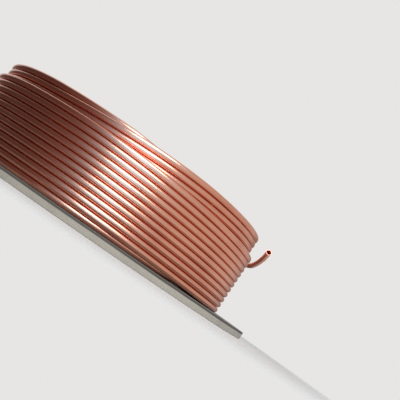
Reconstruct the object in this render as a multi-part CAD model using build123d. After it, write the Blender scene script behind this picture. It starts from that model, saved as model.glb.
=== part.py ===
from build123d import *
import math
import os

# Layer-wound coil of bare copper tube lying on its ring-shaped end board.
# Millimetres, +Z up along the coil's axis, origin on the floor at the board's centre.

# Tube
tube_diameter = 15.88
tube_wall = 1.0

# Winding
bore_diameter = 610.0
turns_per_layer = 14
full_layers = 7
outer_layer_turns = 12
groove_floor = 1.0

# End board
board_diameter = 1010.0
board_hole_diameter = 600.0
board_thickness = 19.0

# Free end of the tube: it springs off the outer layer and is bent up to an open mouth
tail_start_angle = 38.0
tail_start_inset = 5.0
tail_start_drop = 0.5
tail_spring_angle = 23.0
tail_spring_out = 26.0
tail_bend_angle = 11.0
tail_bend_out = 47.0
tail_mouth_angle = -9.0
tail_mouth_out = 38.0
tail_rise = 38.0
tail_bend_radius = 70.0
tail_open_depth = 30.0

# Turns of neighbouring layers nest in each other's grooves
tube_radius = tube_diameter / 2
layer_rise = tube_diameter * math.sin(math.radians(60))
eye_radius = bore_diameter / 2
first_layer_radius = eye_radius + tube_radius
lowest_turn_height = board_thickness + tube_radius


def layer_radius(layer):
    return first_layer_radius + layer * layer_rise


def turn_height(layer, turn):
    nesting = 0.5 if layer % 2 == 0 else 0.0
    return lowest_turn_height + (turn + nesting) * tube_diameter


def turn_centre(layer, turn):
    return (layer_radius(layer), turn_height(layer, turn))


def crest(centre, *angles):
    """Points on a turn's tube at the given angles, 0 outwards and 90 up."""
    turned = [math.radians(angle) for angle in angles]
    return [(centre[0] + tube_radius * math.cos(t), centre[1] + tube_radius * math.sin(t)) for t in turned]


def groove(turn, following):
    """Floor of the groove where a turn touches the one that follows it on the way up or inwards."""
    run, rise = following[0] - turn[0], following[1] - turn[1]
    floor = groove_floor / math.hypot(run, rise)
    return ((turn[0] + following[0]) / 2 + rise * floor, (turn[1] + following[1]) / 2 - run * floor)


def exposed_turns():
    """Every turn that shows, from the bottom up the outside and inwards over the top, with its crest's angles."""
    top = turns_per_layer - 1
    outer = [turn_centre(full_layers, turn) for turn in range(outer_layer_turns)]
    under = [turn_centre(full_layers - 1, turn) for turn in range(turns_per_layer)]
    under = [centre for centre in under if centre[1] > outer[-1][1]]
    ends = [turn_centre(layer, top) for layer in range(full_layers - 2, -1, -1)]
    turns = [(outer[0], (-90, 0))] + [(centre, (0,)) for centre in outer[1:-1]] + [(outer[-1], (45,))]
    turns += [(centre, (0,)) for centre in under[:-1]] + [(under[-1], (45,))]
    return turns + [(centre, (90,)) for centre in ends]


def eye_ribs():
    """Points down the wall of the eye: a rib and a groove for each pair of turns, and a plain foot on the board."""
    points = []
    for turn in range(turns_per_layer - 1, 0, -2):
        height = (turn_height(0, turn) + turn_height(0, turn - 1)) / 2
        points += [(eye_radius, height), (first_layer_radius - groove_floor, height - tube_diameter)]
    return points[:-1] + [(eye_radius, board_thickness)]


def make_winding():
    """One turned body with its bore, a plain underside, and a ridge for every turn on the outside and on top."""
    turns = exposed_turns()
    section = crest(turns[0][0], *turns[0][1])
    for (turn, _), (following, angles) in zip(turns, turns[1:]):
        section += [groove(turn, following)] + crest(following, *angles)
    section += eye_ribs()
    return revolve(Plane.XZ * make_face(Polyline(*section, close=True)), axis=Axis.Z)


def around(angle, radius, height):
    turned = math.radians(angle)
    return Vector(radius * math.cos(turned), radius * math.sin(turned), height)


def make_tail():
    """The tube's free end, from inside the top turn of the outer layer to its mouth."""
    winding_radius = layer_radius(full_layers)
    height = turn_height(full_layers, outer_layer_turns - 1)
    path = FilletPolyline(
        around(tail_start_angle, winding_radius - tail_start_inset, height - tail_start_drop),
        around(tail_spring_angle, winding_radius + tail_spring_out, height),
        around(tail_bend_angle, winding_radius + tail_bend_out, height),
        around(tail_mouth_angle, winding_radius + tail_mouth_out, height + tail_rise),
        radius=tail_bend_radius,
    )
    solid = sweep(Plane(path @ 0, z_dir=path % 0) * Circle(tube_radius), path=path)
    tube_bore = Plane(path @ 1, z_dir=-(path % 1)) * Circle(tube_radius - tube_wall)
    return solid - extrude(tube_bore, amount=tail_open_depth)


def make_board():
    """The ring-shaped end board."""
    return extrude(Circle(board_diameter / 2) - Circle(board_hole_diameter / 2), amount=board_thickness)


os.makedirs("parts", exist_ok=True)
tube_coil = make_winding() + make_tail()
export_step(tube_coil, "parts/tube_coil.step")
export_step(make_board(), "parts/end_board.step")
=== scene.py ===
import math
import bpy
import bmesh
from mathutils import Matrix, Vector, noise


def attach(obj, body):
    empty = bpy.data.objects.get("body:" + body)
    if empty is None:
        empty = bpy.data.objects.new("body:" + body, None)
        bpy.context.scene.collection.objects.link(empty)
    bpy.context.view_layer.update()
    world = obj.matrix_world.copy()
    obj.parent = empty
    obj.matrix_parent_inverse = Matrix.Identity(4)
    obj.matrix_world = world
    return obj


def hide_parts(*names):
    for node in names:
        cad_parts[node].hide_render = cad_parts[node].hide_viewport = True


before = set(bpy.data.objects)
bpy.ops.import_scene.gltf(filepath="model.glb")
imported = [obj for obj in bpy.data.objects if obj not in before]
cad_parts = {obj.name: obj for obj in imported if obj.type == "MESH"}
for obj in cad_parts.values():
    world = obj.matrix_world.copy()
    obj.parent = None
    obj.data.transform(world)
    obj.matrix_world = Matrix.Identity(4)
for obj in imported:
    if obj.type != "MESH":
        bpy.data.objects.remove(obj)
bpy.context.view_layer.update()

# Metres, in the part's own frame: +Z up along the coil's axis, origin on the floor at the board's centre.
# Angles round the coil are in degrees, counter-clockwise from +X as seen from above. Followed clockwise,
# the tube rises in the outer layer and in every second layer under it, and comes down in those between.

# Tube and winding. Layers count outwards from 0 at the bore, and turns count upwards from 0 on the board.
TUBE_DIAMETER = 0.01588
TUBE_RADIUS = TUBE_DIAMETER / 2
TUBE_WALL = 0.001
BORE_RADIUS = 0.305
LAYER_RISE = TUBE_DIAMETER * math.sin(math.radians(60))
TURNS_PER_LAYER = 14
TOP_TURN = TURNS_PER_LAYER - 1
OUTER_LAYER = 7
OUTER_TOP_TURN = 11

# Waves in how the turns lie: their depth, how close they are, and how much they change from turn to turn
WAVE_DEPTH = 0.0003
WAVE_CLOSENESS = 2.5
WAVE_CHANGE = 3.7

# A turn starts at this angle, runs level most of the way round and then steps to its next place, from the
# first of these shares of the way round to the second
TURN_START = -130.0
OUTER_STEP = (245.0 / 360.0, 340.0 / 360.0)
INNER_STEP = (290.0 / 360.0, 1.0)

# The tube's free end, point by point: angle, distance out from the outer layer and rise above its top turn
FREE_END = (
    (60.0, 0.0, 0.0),
    (46.0, 0.0, 0.0002),
    (38.0, 0.0020, 0.0012),
    (30.5, 0.0120, -0.0012),
    (23.0, 0.0245, -0.0058),
    (16.0, 0.0352, -0.0108),
    (11.0, 0.0418, -0.0135),
    (6.5, 0.0440, -0.0103),
    (2.0, 0.0430, 0.0016),
    (-3.0, 0.0404, 0.0173),
    (-9.0, 0.0376, 0.0378),
)
FREE_END_SHARE = (TURN_START + 360 - FREE_END[-1][0]) / 360
MOUTH_EASING = 0.0003
MOUTH_DEPTH = 0.05

# Board
BOARD_TOP = 0.019
BOARD_RADIUS = 0.505
BOARD_HOLE_RADIUS = 0.300
BOARD_EDGE_WEAR = 0.0022
BOARD_CHIP_WIDTH = 0.004
BOARD_CHIP_DEPTH = 0.0016

# Fineness of the meshes. The tube's heading at a ring is taken between points nearby on each side of it.
RINGS = 288
SIDES = 18
NEARBY = 0.001
BOARD_FACETS = 288
SHARP_ANGLE = 40.0

# Studio: the floor and backdrop, the room's light on each side, and the key lamp
PALE_GREY = (0.80, 0.79, 0.78, 1)
FLOOR_RADIUS = 40.0
FLOOR_FADE = (0.62, 1.15)
LEFT_LIGHT = (0.085, 0.058, 0.055)
MIDDLE_LIGHT = (0.22, 0.125, 0.112)
RIGHT_LIGHT = (0.64, 0.61, 0.58)
FRONT_LIGHT = (1.20, 2.22, 2.98)
KEY_PLACE = Vector((0.2, -2.6, 2.4))
KEY_TARGET = Vector((0.0, 0.0, 0.12))
KEY_SIZE = (1.9, 1.8)
KEY_POWER = 58
KEY_COLOUR = (1.0, 0.97, 0.94)

# Camera, at the photo's viewing angle: just above the board's level, and rolled so that the coil leans
EYE_PLACE = Vector((0.0, -1.7633, 0.03))
LOOK_AT = Vector((0.2103, 0.0, 0.2542))
LENS = 57.23
SENSOR_WIDTH = 36
NEAREST_SEEN = 0.05
CAMERA_ROLL = 34.78


# Centre lines. Each gives the radius and height of a turn at a share of the way round.


def layer_radius(layer):
    return BORE_RADIUS + TUBE_RADIUS + layer * LAYER_RISE


def place_height(layer, level):
    nesting = 0.5 if layer % 2 == 0 else 0.0
    return BOARD_TOP + TUBE_RADIUS + (level + nesting) * TUBE_DIAMETER


def ease(x):
    x = min(max(x, 0.0), 1.0)
    return x * x * (3 - 2 * x)


def stepped(layer, share):
    start, end = OUTER_STEP if layer == OUTER_LAYER else INNER_STEP
    return ease((share - start) / (end - start))


def plain_turn(layer, level, climb):
    """A turn that steps up or down within its own layer."""
    return lambda share: (layer_radius(layer), place_height(layer, level + climb * stepped(layer, share)))


def rising(layer, levels):
    return [plain_turn(layer, level, 1) for level in levels]


def falling(layer, levels):
    return [plain_turn(layer, level, -1) for level in levels]


def crossing_turn(layer, level):
    """A layer's last turn, which rolls round its neighbour into the first place of the next layer."""
    sense = 1 if level else -1

    def centre(share):
        step = stepped(layer + 1, share)
        turned = math.radians(210 - 120 * step) if step < 0.5 else math.pi - math.asin(step)
        radius = layer_radius(layer + 1) + TUBE_DIAMETER * math.cos(turned)
        neighbour = place_height(layer + 1, level - sense * step)
        return radius, neighbour + sense * TUBE_DIAMETER * math.sin(turned)
    return centre


def between(stops, place):
    """A smooth line through stops of (place, value, value), for a place that falls from stop to stop."""
    k = max(n for n in range(len(stops) - 1) if n == 0 or place <= stops[n][0])
    start, end = stops[k], stops[k + 1]
    before, after = stops[max(k - 1, 0)], stops[min(k + 2, len(stops) - 1)]
    span = end[0] - start[0]
    t = min(max((place - start[0]) / span, 0.0), 1.0)
    values = []
    for n in (1, 2):
        leaving = (end[n] - before[n]) / (end[0] - before[0]) * span
        arriving = (after[n] - start[n]) / (after[0] - start[0]) * span
        rise = end[n] - start[n]
        values.append(start[n] + t * leaving + t * t * (3 * rise - 2 * leaving - arriving)
                      + t ** 3 * (leaving + arriving - 2 * rise))
    return values


def free_end_turn(share):
    """The outer layer's top turn, which leaves the coil and bends up to the mouth."""
    out, rise = between(FREE_END, TURN_START + 360 - 360 * share)
    return layer_radius(OUTER_LAYER) + out, place_height(OUTER_LAYER, OUTER_TOP_TURN) + rise


def turn_angle(share):
    return math.radians(TURN_START - 360 * share)


def waviness(angle, turn):
    """How far out of true a turn lies, in waves a hand or two long."""
    x, y = WAVE_CLOSENESS * math.cos(angle), WAVE_CLOSENESS * math.sin(angle)
    return WAVE_DEPTH * noise.noise(Vector((x, y, WAVE_CHANGE * turn)))


def point_on(centre, share, turn=None):
    """A point on a centre line. Given its turn's number it is out of true, and the next turn's waves take
    over in the turn's last fifth."""
    angle = turn_angle(share)
    radius, height = centre(share)
    if turn is not None:
        mixed = ease(5 * share - 4)
        radius += waviness(angle, turn) * (1 - mixed) + waviness(angle, turn + 1) * mixed
    return Vector((radius * math.cos(angle), radius * math.sin(angle), height))


# Meshes


def finish_mesh(bm, name, material, node):
    """The finished piece: outward faces, smooth shading and its material, put under the root body, with the
    CAD part it stands in for hidden.
    """
    bmesh.ops.recalc_face_normals(bm, faces=bm.faces)
    mesh = bpy.data.meshes.new(name)
    bm.to_mesh(mesh)
    bm.free()
    mesh.shade_smooth()
    mesh.set_sharp_from_angle(angle=math.radians(SHARP_ANGLE))
    mesh.materials.append(material)
    piece = bpy.data.objects.new(name, mesh)
    bpy.context.scene.collection.objects.link(piece)
    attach(piece, "root")
    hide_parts(node)


def plain_ring_of_tube():
    """A turn of tube, spun clockwise round a 1 m circle. Its UV counts rounds of the circle and the tube."""
    bm = bmesh.new()
    stand = Matrix.Rotation(turn_angle(0), 4, "Z")
    stand = stand @ Matrix.Translation((1, 0, 0)) @ Matrix.Rotation(math.radians(90), 4, "X")
    bmesh.ops.create_circle(bm, cap_ends=False, segments=SIDES, radius=TUBE_RADIUS, matrix=stand)
    bmesh.ops.spin(
        bm, geom=bm.verts[:] + bm.edges[:], cent=(0, 0, 0), axis=(0, 0, 1), dvec=(0, 0, 0),
        angle=-2 * math.pi, steps=RINGS, use_merge=False, use_duplicate=False,
    )
    bm.verts.index_update()
    uv = bm.loops.layers.uv.new("Tube")
    for face in bm.faces:
        around = {}
        for loop in face.loops:
            x, y, z = loop.vert.co
            around[loop] = math.atan2(z, math.hypot(x, y) - 1) / (2 * math.pi)
        on_seam = max(around.values()) - min(around.values()) > 0.5
        for loop, turned in around.items():
            along = (loop.vert.index // SIDES) / RINGS
            loop[uv].uv = (along, turned + 1 if on_seam and turned < 0 else turned)
    mesh = bpy.data.meshes.new("ring")
    bm.to_mesh(mesh)
    bm.free()
    return mesh


def lay_turn(bm, ring_mesh, centre, turn, last_share):
    """Adds one turn to the winding and lays each of its rings on the centre line, square to it."""
    known = len(bm.verts)
    bm.from_mesh(ring_mesh)
    bm.verts.ensure_lookup_table()
    added = bm.verts[known:]
    rings = [added[SIDES * k:SIDES * (k + 1)] for k in range(RINGS + 1)]
    for k, ring in enumerate(rings):
        share = k / RINGS
        angle = turn_angle(share)
        outwards = Vector((math.cos(angle), math.sin(angle), 0))
        clockwise = Vector((math.sin(angle), -math.cos(angle), 0))
        ahead = point_on(centre, min(share + NEARBY, 1), turn)
        behind = point_on(centre, max(share - NEARBY, 0), turn)
        turned = clockwise.rotation_difference(ahead - behind).to_matrix()
        middle = point_on(centre, share, turn)
        for vert in ring:
            vert.co = middle + turned @ (vert.co - outwards)
    uv = bm.loops.layers.uv["Tube"]
    for vert in added:
        for loop in vert.link_loops:
            loop[uv].uv.x += turn
    spare = [vert for k, ring in enumerate(rings) if k / RINGS > last_share + 1e-6 for vert in ring]
    bmesh.ops.delete(bm, geom=spare, context="VERTS")


def open_ends(bm):
    """The tube's open edge loops, each with its middle."""
    border = [edge for edge in bm.edges if edge.is_boundary]
    left = set(border)
    ends = []
    for first in border:
        if first not in left:
            continue
        left.remove(first)
        edges, reached = [], [first]
        while reached:
            edge = reached.pop()
            edges.append(edge)
            found = [e for v in edge.verts for e in v.link_edges if e in left]
            left.difference_update(found)
            reached += found
        verts = list(dict.fromkeys(vert for edge in edges for vert in edge.verts))
        ends.append((edges, sum((vert.co for vert in verts), Vector()) / len(verts)))
    return ends


def cut_mouth(bm, edges, middle):
    """An open end: the thickness of the wall, eased at both corners, then the bore going down inside."""
    rim = [vert for edge in edges for vert in edge.verts]
    beyond = [e.other_vert(vert).co for vert in rim for e in vert.link_edges if not e.is_boundary]
    inwards = (sum(beyond, Vector()) / len(beyond) - middle).normalized()
    wall = TUBE_WALL / TUBE_RADIUS
    steps = (
        (1 - 0.25 * wall, -MOUTH_EASING),
        (1 - 0.75 * wall, 0.0),
        (1 - wall, MOUTH_EASING),
        (1 - wall, MOUTH_DEPTH),
    )
    size = 1.0
    for share, depth in steps:
        made = bmesh.ops.extrude_edge_only(bm, edges=edges)["geom"]
        verts = [item for item in made if isinstance(item, bmesh.types.BMVert)]
        edges = [item for item in made if isinstance(item, bmesh.types.BMEdge) and item.is_boundary]
        bmesh.ops.scale(bm, vec=(share / size,) * 3, space=Matrix.Translation(-middle), verts=verts)
        bmesh.ops.translate(bm, vec=inwards * depth, verts=verts)
        middle = middle + inwards * depth
        size = share
    bmesh.ops.contextual_create(bm, geom=edges)


def wind(name, material, ring_mesh, layer, turns, first_turn=0, last_share=1.0, mouth=None):
    """A run of turns as one piece. Its ends are closed inside the coil, except the one at the mouth."""
    bm = bmesh.new()
    turn = layer * TURNS_PER_LAYER + first_turn
    for centre in turns[:-1]:
        lay_turn(bm, ring_mesh, centre, turn, 1.0)
        turn += 1
    lay_turn(bm, ring_mesh, turns[-1], turn, last_share)
    bmesh.ops.remove_doubles(bm, verts=bm.verts, dist=1e-5)
    ends = open_ends(bm)
    if mouth:
        ends.sort(key=lambda end: (end[1] - mouth).length)
        cut_mouth(bm, *ends.pop(0))
    for edges, _ in ends:
        bmesh.ops.contextual_create(bm, geom=edges)
    finish_mesh(bm, name, material, "tube_coil")


def end_board(material):
    """The ring board, turned from its section, with worn round edges and a rim that isn't quite true."""
    bm = bmesh.new()
    corners = [
        bm.verts.new((BOARD_HOLE_RADIUS, 0, 0)),
        bm.verts.new((BOARD_RADIUS, 0, 0)),
        bm.verts.new((BOARD_RADIUS, 0, BOARD_TOP)),
        bm.verts.new((BOARD_HOLE_RADIUS, 0, BOARD_TOP)),
    ]
    bm.faces.new(corners)
    bmesh.ops.bevel(
        bm, geom=corners, offset=BOARD_EDGE_WEAR, offset_type="OFFSET", affect="VERTICES", segments=4,
        profile=0.5, material=-1,
    )
    bmesh.ops.delete(bm, geom=bm.faces[:], context="FACES_ONLY")
    across = [edge for edge in bm.edges if edge.calc_length() > BOARD_TOP]
    bmesh.ops.subdivide_edges(bm, edges=across, cuts=12)
    bmesh.ops.spin(
        bm, geom=bm.verts[:] + bm.edges[:], cent=(0, 0, 0), axis=(0, 0, 1), dvec=(0, 0, 0),
        angle=2 * math.pi, steps=BOARD_FACETS, use_merge=True, use_duplicate=False,
    )
    bmesh.ops.remove_doubles(bm, verts=bm.verts, dist=1e-6)
    for vert in bm.verts:
        reach = math.hypot(vert.co.x, vert.co.y)
        if reach > BOARD_RADIUS - BOARD_CHIP_WIDTH:
            coarse = max(0.0, noise.noise(vert.co * 31) - 0.25)
            fine = max(0.0, noise.noise(vert.co * 90) - 0.3)
            vert.co.xy *= 1 - BOARD_CHIP_DEPTH * (coarse + 0.5 * fine) / reach
    finish_mesh(bm, "end_board_ring", material, "end_board")


# Materials


class Sock:
    """A socket that plain arithmetic can be written on."""

    def __init__(self, tree, socket):
        self.tree = tree
        self.socket = socket

    def _math(self, operation, *values):
        return self.tree.add("ShaderNodeMath", {"operation": operation}, dict(enumerate(values)))

    def __add__(self, other):
        return self._math("ADD", self, other)

    def __radd__(self, other):
        return self._math("ADD", other, self)

    def __sub__(self, other):
        return self._math("SUBTRACT", self, other)

    def __rsub__(self, other):
        return self._math("SUBTRACT", other, self)

    def __mul__(self, other):
        return self._math("MULTIPLY", self, other)

    def __rmul__(self, other):
        return self._math("MULTIPLY", other, self)

    def __pow__(self, other):
        return self._math("POWER", self, other)

    def __rpow__(self, other):
        return self._math("POWER", other, self)

    def __abs__(self):
        return self._math("ABSOLUTE", self)

    def at_least(self, other):
        return self._math("MAXIMUM", self, other)


class Shader:
    """A material's or the world's nodes."""

    def __init__(self, owner):
        owner.use_nodes = True
        self.nodes = owner.node_tree.nodes
        self.links = owner.node_tree.links
        self.nodes.clear()

    def add(self, kind, settings=None, values=None, output=0):
        """A node of this type: settings first, then its sockets' values or links. Gives one output."""
        node = self.nodes.new(kind)
        for key, value in (settings or {}).items():
            setattr(node, key, value)
        for key, value in (values or {}).items():
            if isinstance(value, Sock):
                self.links.new(value.socket, node.inputs[key])
            else:
                node.inputs[key].default_value = value
        return Sock(self, node.outputs[output]) if node.outputs else None

    def mix(self, factor, first, second):
        """Mix of two colours, by the Mix node's own sockets for colours."""
        first, second = (colour if isinstance(colour, Sock) else (*colour, 1) for colour in (first, second))
        return self.add("ShaderNodeMix", {"data_type": "RGBA"}, {0: factor, 6: first, 7: second}, output=2)

    def ramp(self, value, low, high, start=0.0, end=1.0):
        """Smooth change from start to end as a value goes from low to high."""
        return self.add("ShaderNodeMapRange", {"interpolation_type": "SMOOTHSTEP"},
                        {0: value, 1: low, 2: high, 3: start, 4: end})

    def noise(self, place, scale, detail=4.0, roughness=0.55, distortion=0.0):
        return self.add("ShaderNodeTexNoise", None, {
            "Vector": place, "Scale": scale, "Detail": detail,
            "Roughness": roughness, "Distortion": distortion})

    def stretch(self, place, sizes):
        return self.add("ShaderNodeVectorMath", {"operation": "MULTIPLY"}, {0: place, 1: sizes})

    def length(self, place):
        return self.add("ShaderNodeVectorMath", {"operation": "LENGTH"}, {0: place}, output="Value")

    def place(self):
        """Places in the part's frame."""
        return self.add("ShaderNodeTexCoord", output="Object")

    def bump(self, height, strength, distance):
        return self.add("ShaderNodeBump", None, {
            "Height": height, "Strength": strength, "Distance": distance})

    def surface(self, values):
        """The finished surface, from the values or links of its sockets."""
        shader = self.add("ShaderNodeBsdfPrincipled", None, values)
        self.add("ShaderNodeOutputMaterial", None, {"Surface": shader})


def copper():
    """Bright drawn copper: die lines along the tube, dull tarnish in patches and runs, and dark specks."""
    material = bpy.data.materials.new("drawn_copper")
    s = Shader(material)
    tube = s.add("ShaderNodeUVMap", {"uv_map": "Tube"})
    die_lines = s.noise(s.stretch(tube, (6.0, 40.0, 1.0)), 1.0, detail=3.0)
    runs = s.noise(s.stretch(tube, (3.0, 2.2, 1.0)), 1.0, detail=5.0, roughness=0.6)
    patches = s.noise(s.place(), 9.0, detail=6.0, roughness=0.6)
    specks = s.noise(s.stretch(tube, (120.0, 104.0, 1.0)), 1.0, detail=3.0, roughness=0.7)
    tarnish = s.ramp(patches * 0.55 + runs * 0.45, 0.42, 0.66)
    base = s.mix(tarnish, (0.84, 0.40, 0.28), (0.68, 0.27, 0.18))
    base = s.mix(s.ramp(specks, 0.62, 0.74, 0.0, 0.15), base, (0.44, 0.17, 0.11))
    base = s.mix(s.ramp(die_lines, 0.3, 0.7, 0.0, 0.2), base, (0.90, 0.54, 0.43))
    roughness = 0.18 + tarnish * 0.10 + s.ramp(die_lines, 0.35, 0.7, 0.0, 0.04)
    bump = s.bump(die_lines * 0.6 + runs * 0.4, strength=0.03, distance=0.0003)
    s.surface({"Base Color": base, "Metallic": 1.0, "Roughness": roughness, "Normal": bump})
    return material


def board_face():
    """Pale pressed board, soiled by handling, with a greyer face and painted shade: a dark line along its
    upper edge.
    """
    material = bpy.data.materials.new("pale_fibreboard")
    s = Shader(material)
    place = s.place()
    fibres = s.noise(place, 420.0, detail=5.0, roughness=0.7)
    clouds = s.noise(place, 6.0, detail=6.0, roughness=0.65)
    dirt = s.ramp(s.noise(place, 17.0, detail=8.0, roughness=0.7, distortion=0.4), 0.5, 0.72)
    base = s.mix(clouds, (0.36, 0.33, 0.285), (0.49, 0.455, 0.40))
    base = s.mix(s.ramp(fibres, 0.35, 0.7, 0.0, 0.35), base, (0.38, 0.35, 0.29))
    base = s.mix(dirt * 0.4, base, (0.25, 0.23, 0.19))

    height = s.add("ShaderNodeSeparateXYZ", None, {0: place}, output="Z")
    height = height + s.noise(place, 11.0, detail=3.0) * 0.002
    upper = s.ramp(height, BOARD_TOP - 0.005, BOARD_TOP - 0.003)
    reach = s.length(s.stretch(place, (1.0, 1.0, 0.0)))
    # Painted shade: near the outer edge, the top face and the rim's upper few millimetres go near black, a
    # painted shadow line along the top of the rim
    edge = s.ramp(reach, BOARD_RADIUS - 0.007, BOARD_RADIUS - 0.002)
    face = s.mix(clouds, (0.20, 0.19, 0.175), (0.31, 0.295, 0.275))
    base = s.mix(upper * 0.92, base, s.mix(edge, face, (0.055, 0.048, 0.042)))
    bump = s.bump(fibres - dirt * 0.4, strength=0.35, distance=0.0006)
    s.surface({"Base Color": base, "Roughness": 0.62 + fibres * 0.2, "Normal": bump})
    return material


def floor_finish():
    """Pale floor that fades out round the coil, so that it keeps only the shadow."""
    material = bpy.data.materials.new("pale_floor")
    s = Shader(material)
    fade = s.ramp(s.length(s.place()), *FLOOR_FADE, 1.0, 0.0)
    s.surface({"Base Color": PALE_GREY, "Roughness": 0.8, "Alpha": fade})
    return material


# Studio


def pale_floor():
    bm = bmesh.new()
    bmesh.ops.create_circle(bm, cap_ends=True, segments=64, radius=FLOOR_RADIUS)
    mesh = bpy.data.meshes.new("floor")
    bm.to_mesh(mesh)
    bm.free()
    mesh.materials.append(floor_finish())
    floor = bpy.data.objects.new("floor", mesh)
    floor.visible_glossy = False
    bpy.context.scene.collection.objects.link(floor)


def studio_world():
    """The room's light: dim and warm on the left, broad and soft on the right, cool and narrow in front."""
    world = bpy.data.worlds.new("studio")
    bpy.context.scene.world = world
    s = Shader(world)
    aim = s.add("ShaderNodeTexCoord", output="Generated")

    def along(direction):
        product = {"operation": "DOT_PRODUCT"}
        return s.add("ShaderNodeVectorMath", product, {0: aim, 1: direction}, output="Value")

    def on_ray(kind):
        return s.add("ShaderNodeLightPath", output=f"Is {kind} Ray")

    across = along((0.98, -0.20, 0)) + along((0, 0, -1)).at_least(0.0) * 0.28
    glow = s.mix(s.ramp(across, -0.95, -0.15), LEFT_LIGHT, MIDDLE_LIGHT)
    glow = s.mix(s.ramp(across, 0.05, 0.75), glow, RIGHT_LIGHT)
    aside = abs(along((1, 0, 0)) * (1.0 + 0.7 * along((0, 0, 1)) ** 2.0))
    in_front = (1.0 - aside * 1.16).at_least(0.0) ** 2.5
    in_front = in_front * s.ramp(along((0, 1, 0)), 0.35, 0.80, 1.0, 0.0)
    glow = s.mix(in_front, glow, FRONT_LIGHT)
    plain_glow = s.add("ShaderNodeRGBToBW", None, {0: glow}) * 0.75
    glow = s.mix(on_ray("Diffuse"), glow, plain_glow)
    room = s.add("ShaderNodeBackground", None, {"Color": glow, "Strength": 1.0})

    # The camera sees the backdrop everywhere, and the metal sees it behind the coil and over its top
    backdrop = s.add("ShaderNodeBackground", None, {"Color": PALE_GREY, "Strength": 1.0})
    behind = s.ramp(along((-0.12, 0.88, 0.46)), 0.77, 0.90)
    overhead = s.ramp(along((-0.05, 0.62, 0.78)), 0.70, 0.88)
    mirrored = behind.at_least(overhead) * (on_ray("Glossy") + on_ray("Transmission"))
    shown = on_ray("Camera") + mirrored
    s.add("ShaderNodeOutputWorld", None, {
        "Surface": s.add("ShaderNodeMixShader", None, {0: shown, 1: room, 2: backdrop})})


def aimed(place, target):
    return (target - place).to_track_quat("-Z", "Y")


def key_lamp():
    data = bpy.data.lights.new("key", "AREA")
    data.shape = "RECTANGLE"
    data.size, data.size_y = KEY_SIZE
    data.energy = KEY_POWER
    data.color = KEY_COLOUR
    light = bpy.data.objects.new("key", data)
    light.location = KEY_PLACE
    light.rotation_euler = aimed(KEY_PLACE, KEY_TARGET).to_euler()
    bpy.context.scene.collection.objects.link(light)


def rolled_camera():
    data = bpy.data.cameras.new("camera")
    data.lens = LENS
    data.sensor_width = SENSOR_WIDTH
    data.clip_start = NEAREST_SEEN
    camera = bpy.data.objects.new("camera", data)
    camera.location = EYE_PLACE
    roll = Matrix.Rotation(math.radians(CAMERA_ROLL), 3, "Z")
    camera.rotation_euler = (aimed(EYE_PLACE, LOOK_AT).to_matrix() @ roll).to_euler()
    bpy.context.scene.collection.objects.link(camera)
    bpy.context.scene.camera = camera


# The coil: only turns that can be seen are laid, with the ones that carry them
copper_finish = copper()
ring_mesh = plain_ring_of_tube()
wind(
    "outer_layer_and_free_end", copper_finish, ring_mesh, OUTER_LAYER,
    rising(OUTER_LAYER, range(OUTER_TOP_TURN)) + [free_end_turn],
    last_share=FREE_END_SHARE, mouth=point_on(free_end_turn, FREE_END_SHARE),
)
wind(
    "second_layer", copper_finish, ring_mesh, OUTER_LAYER - 1,
    falling(OUTER_LAYER - 1, range(TOP_TURN, OUTER_TOP_TURN - 2, -1)),
)
for layer, name in ((5, "third_layer"), (3, "fifth_layer"), (1, "seventh_layer")):
    wind(
        name, copper_finish, ring_mesh, layer,
        rising(layer, [TOP_TURN - 1]) + [crossing_turn(layer, TOP_TURN)], first_turn=TOP_TURN - 1,
    )
for layer, name in ((4, "fourth_layer"), (2, "sixth_layer")):
    wind(name, copper_finish, ring_mesh, layer, falling(layer, [TOP_TURN, TOP_TURN - 1]))
inner_turns = falling(0, range(TOP_TURN, 0, -1)) + [crossing_turn(0, 0)]
wind("inner_layer", copper_finish, ring_mesh, 0, inner_turns, mouth=point_on(inner_turns[0], 0))
wind(
    "last_crossing_to_outer_layer", copper_finish, ring_mesh, OUTER_LAYER - 1,
    [crossing_turn(OUTER_LAYER - 1, 0)], first_turn=TOP_TURN,
)
bpy.data.meshes.remove(ring_mesh)
end_board(board_face())

pale_floor()
studio_world()
key_lamp()
rolled_camera()
bpy.context.scene.view_settings.view_transform = "Standard"

bpy.context.view_layer.update()
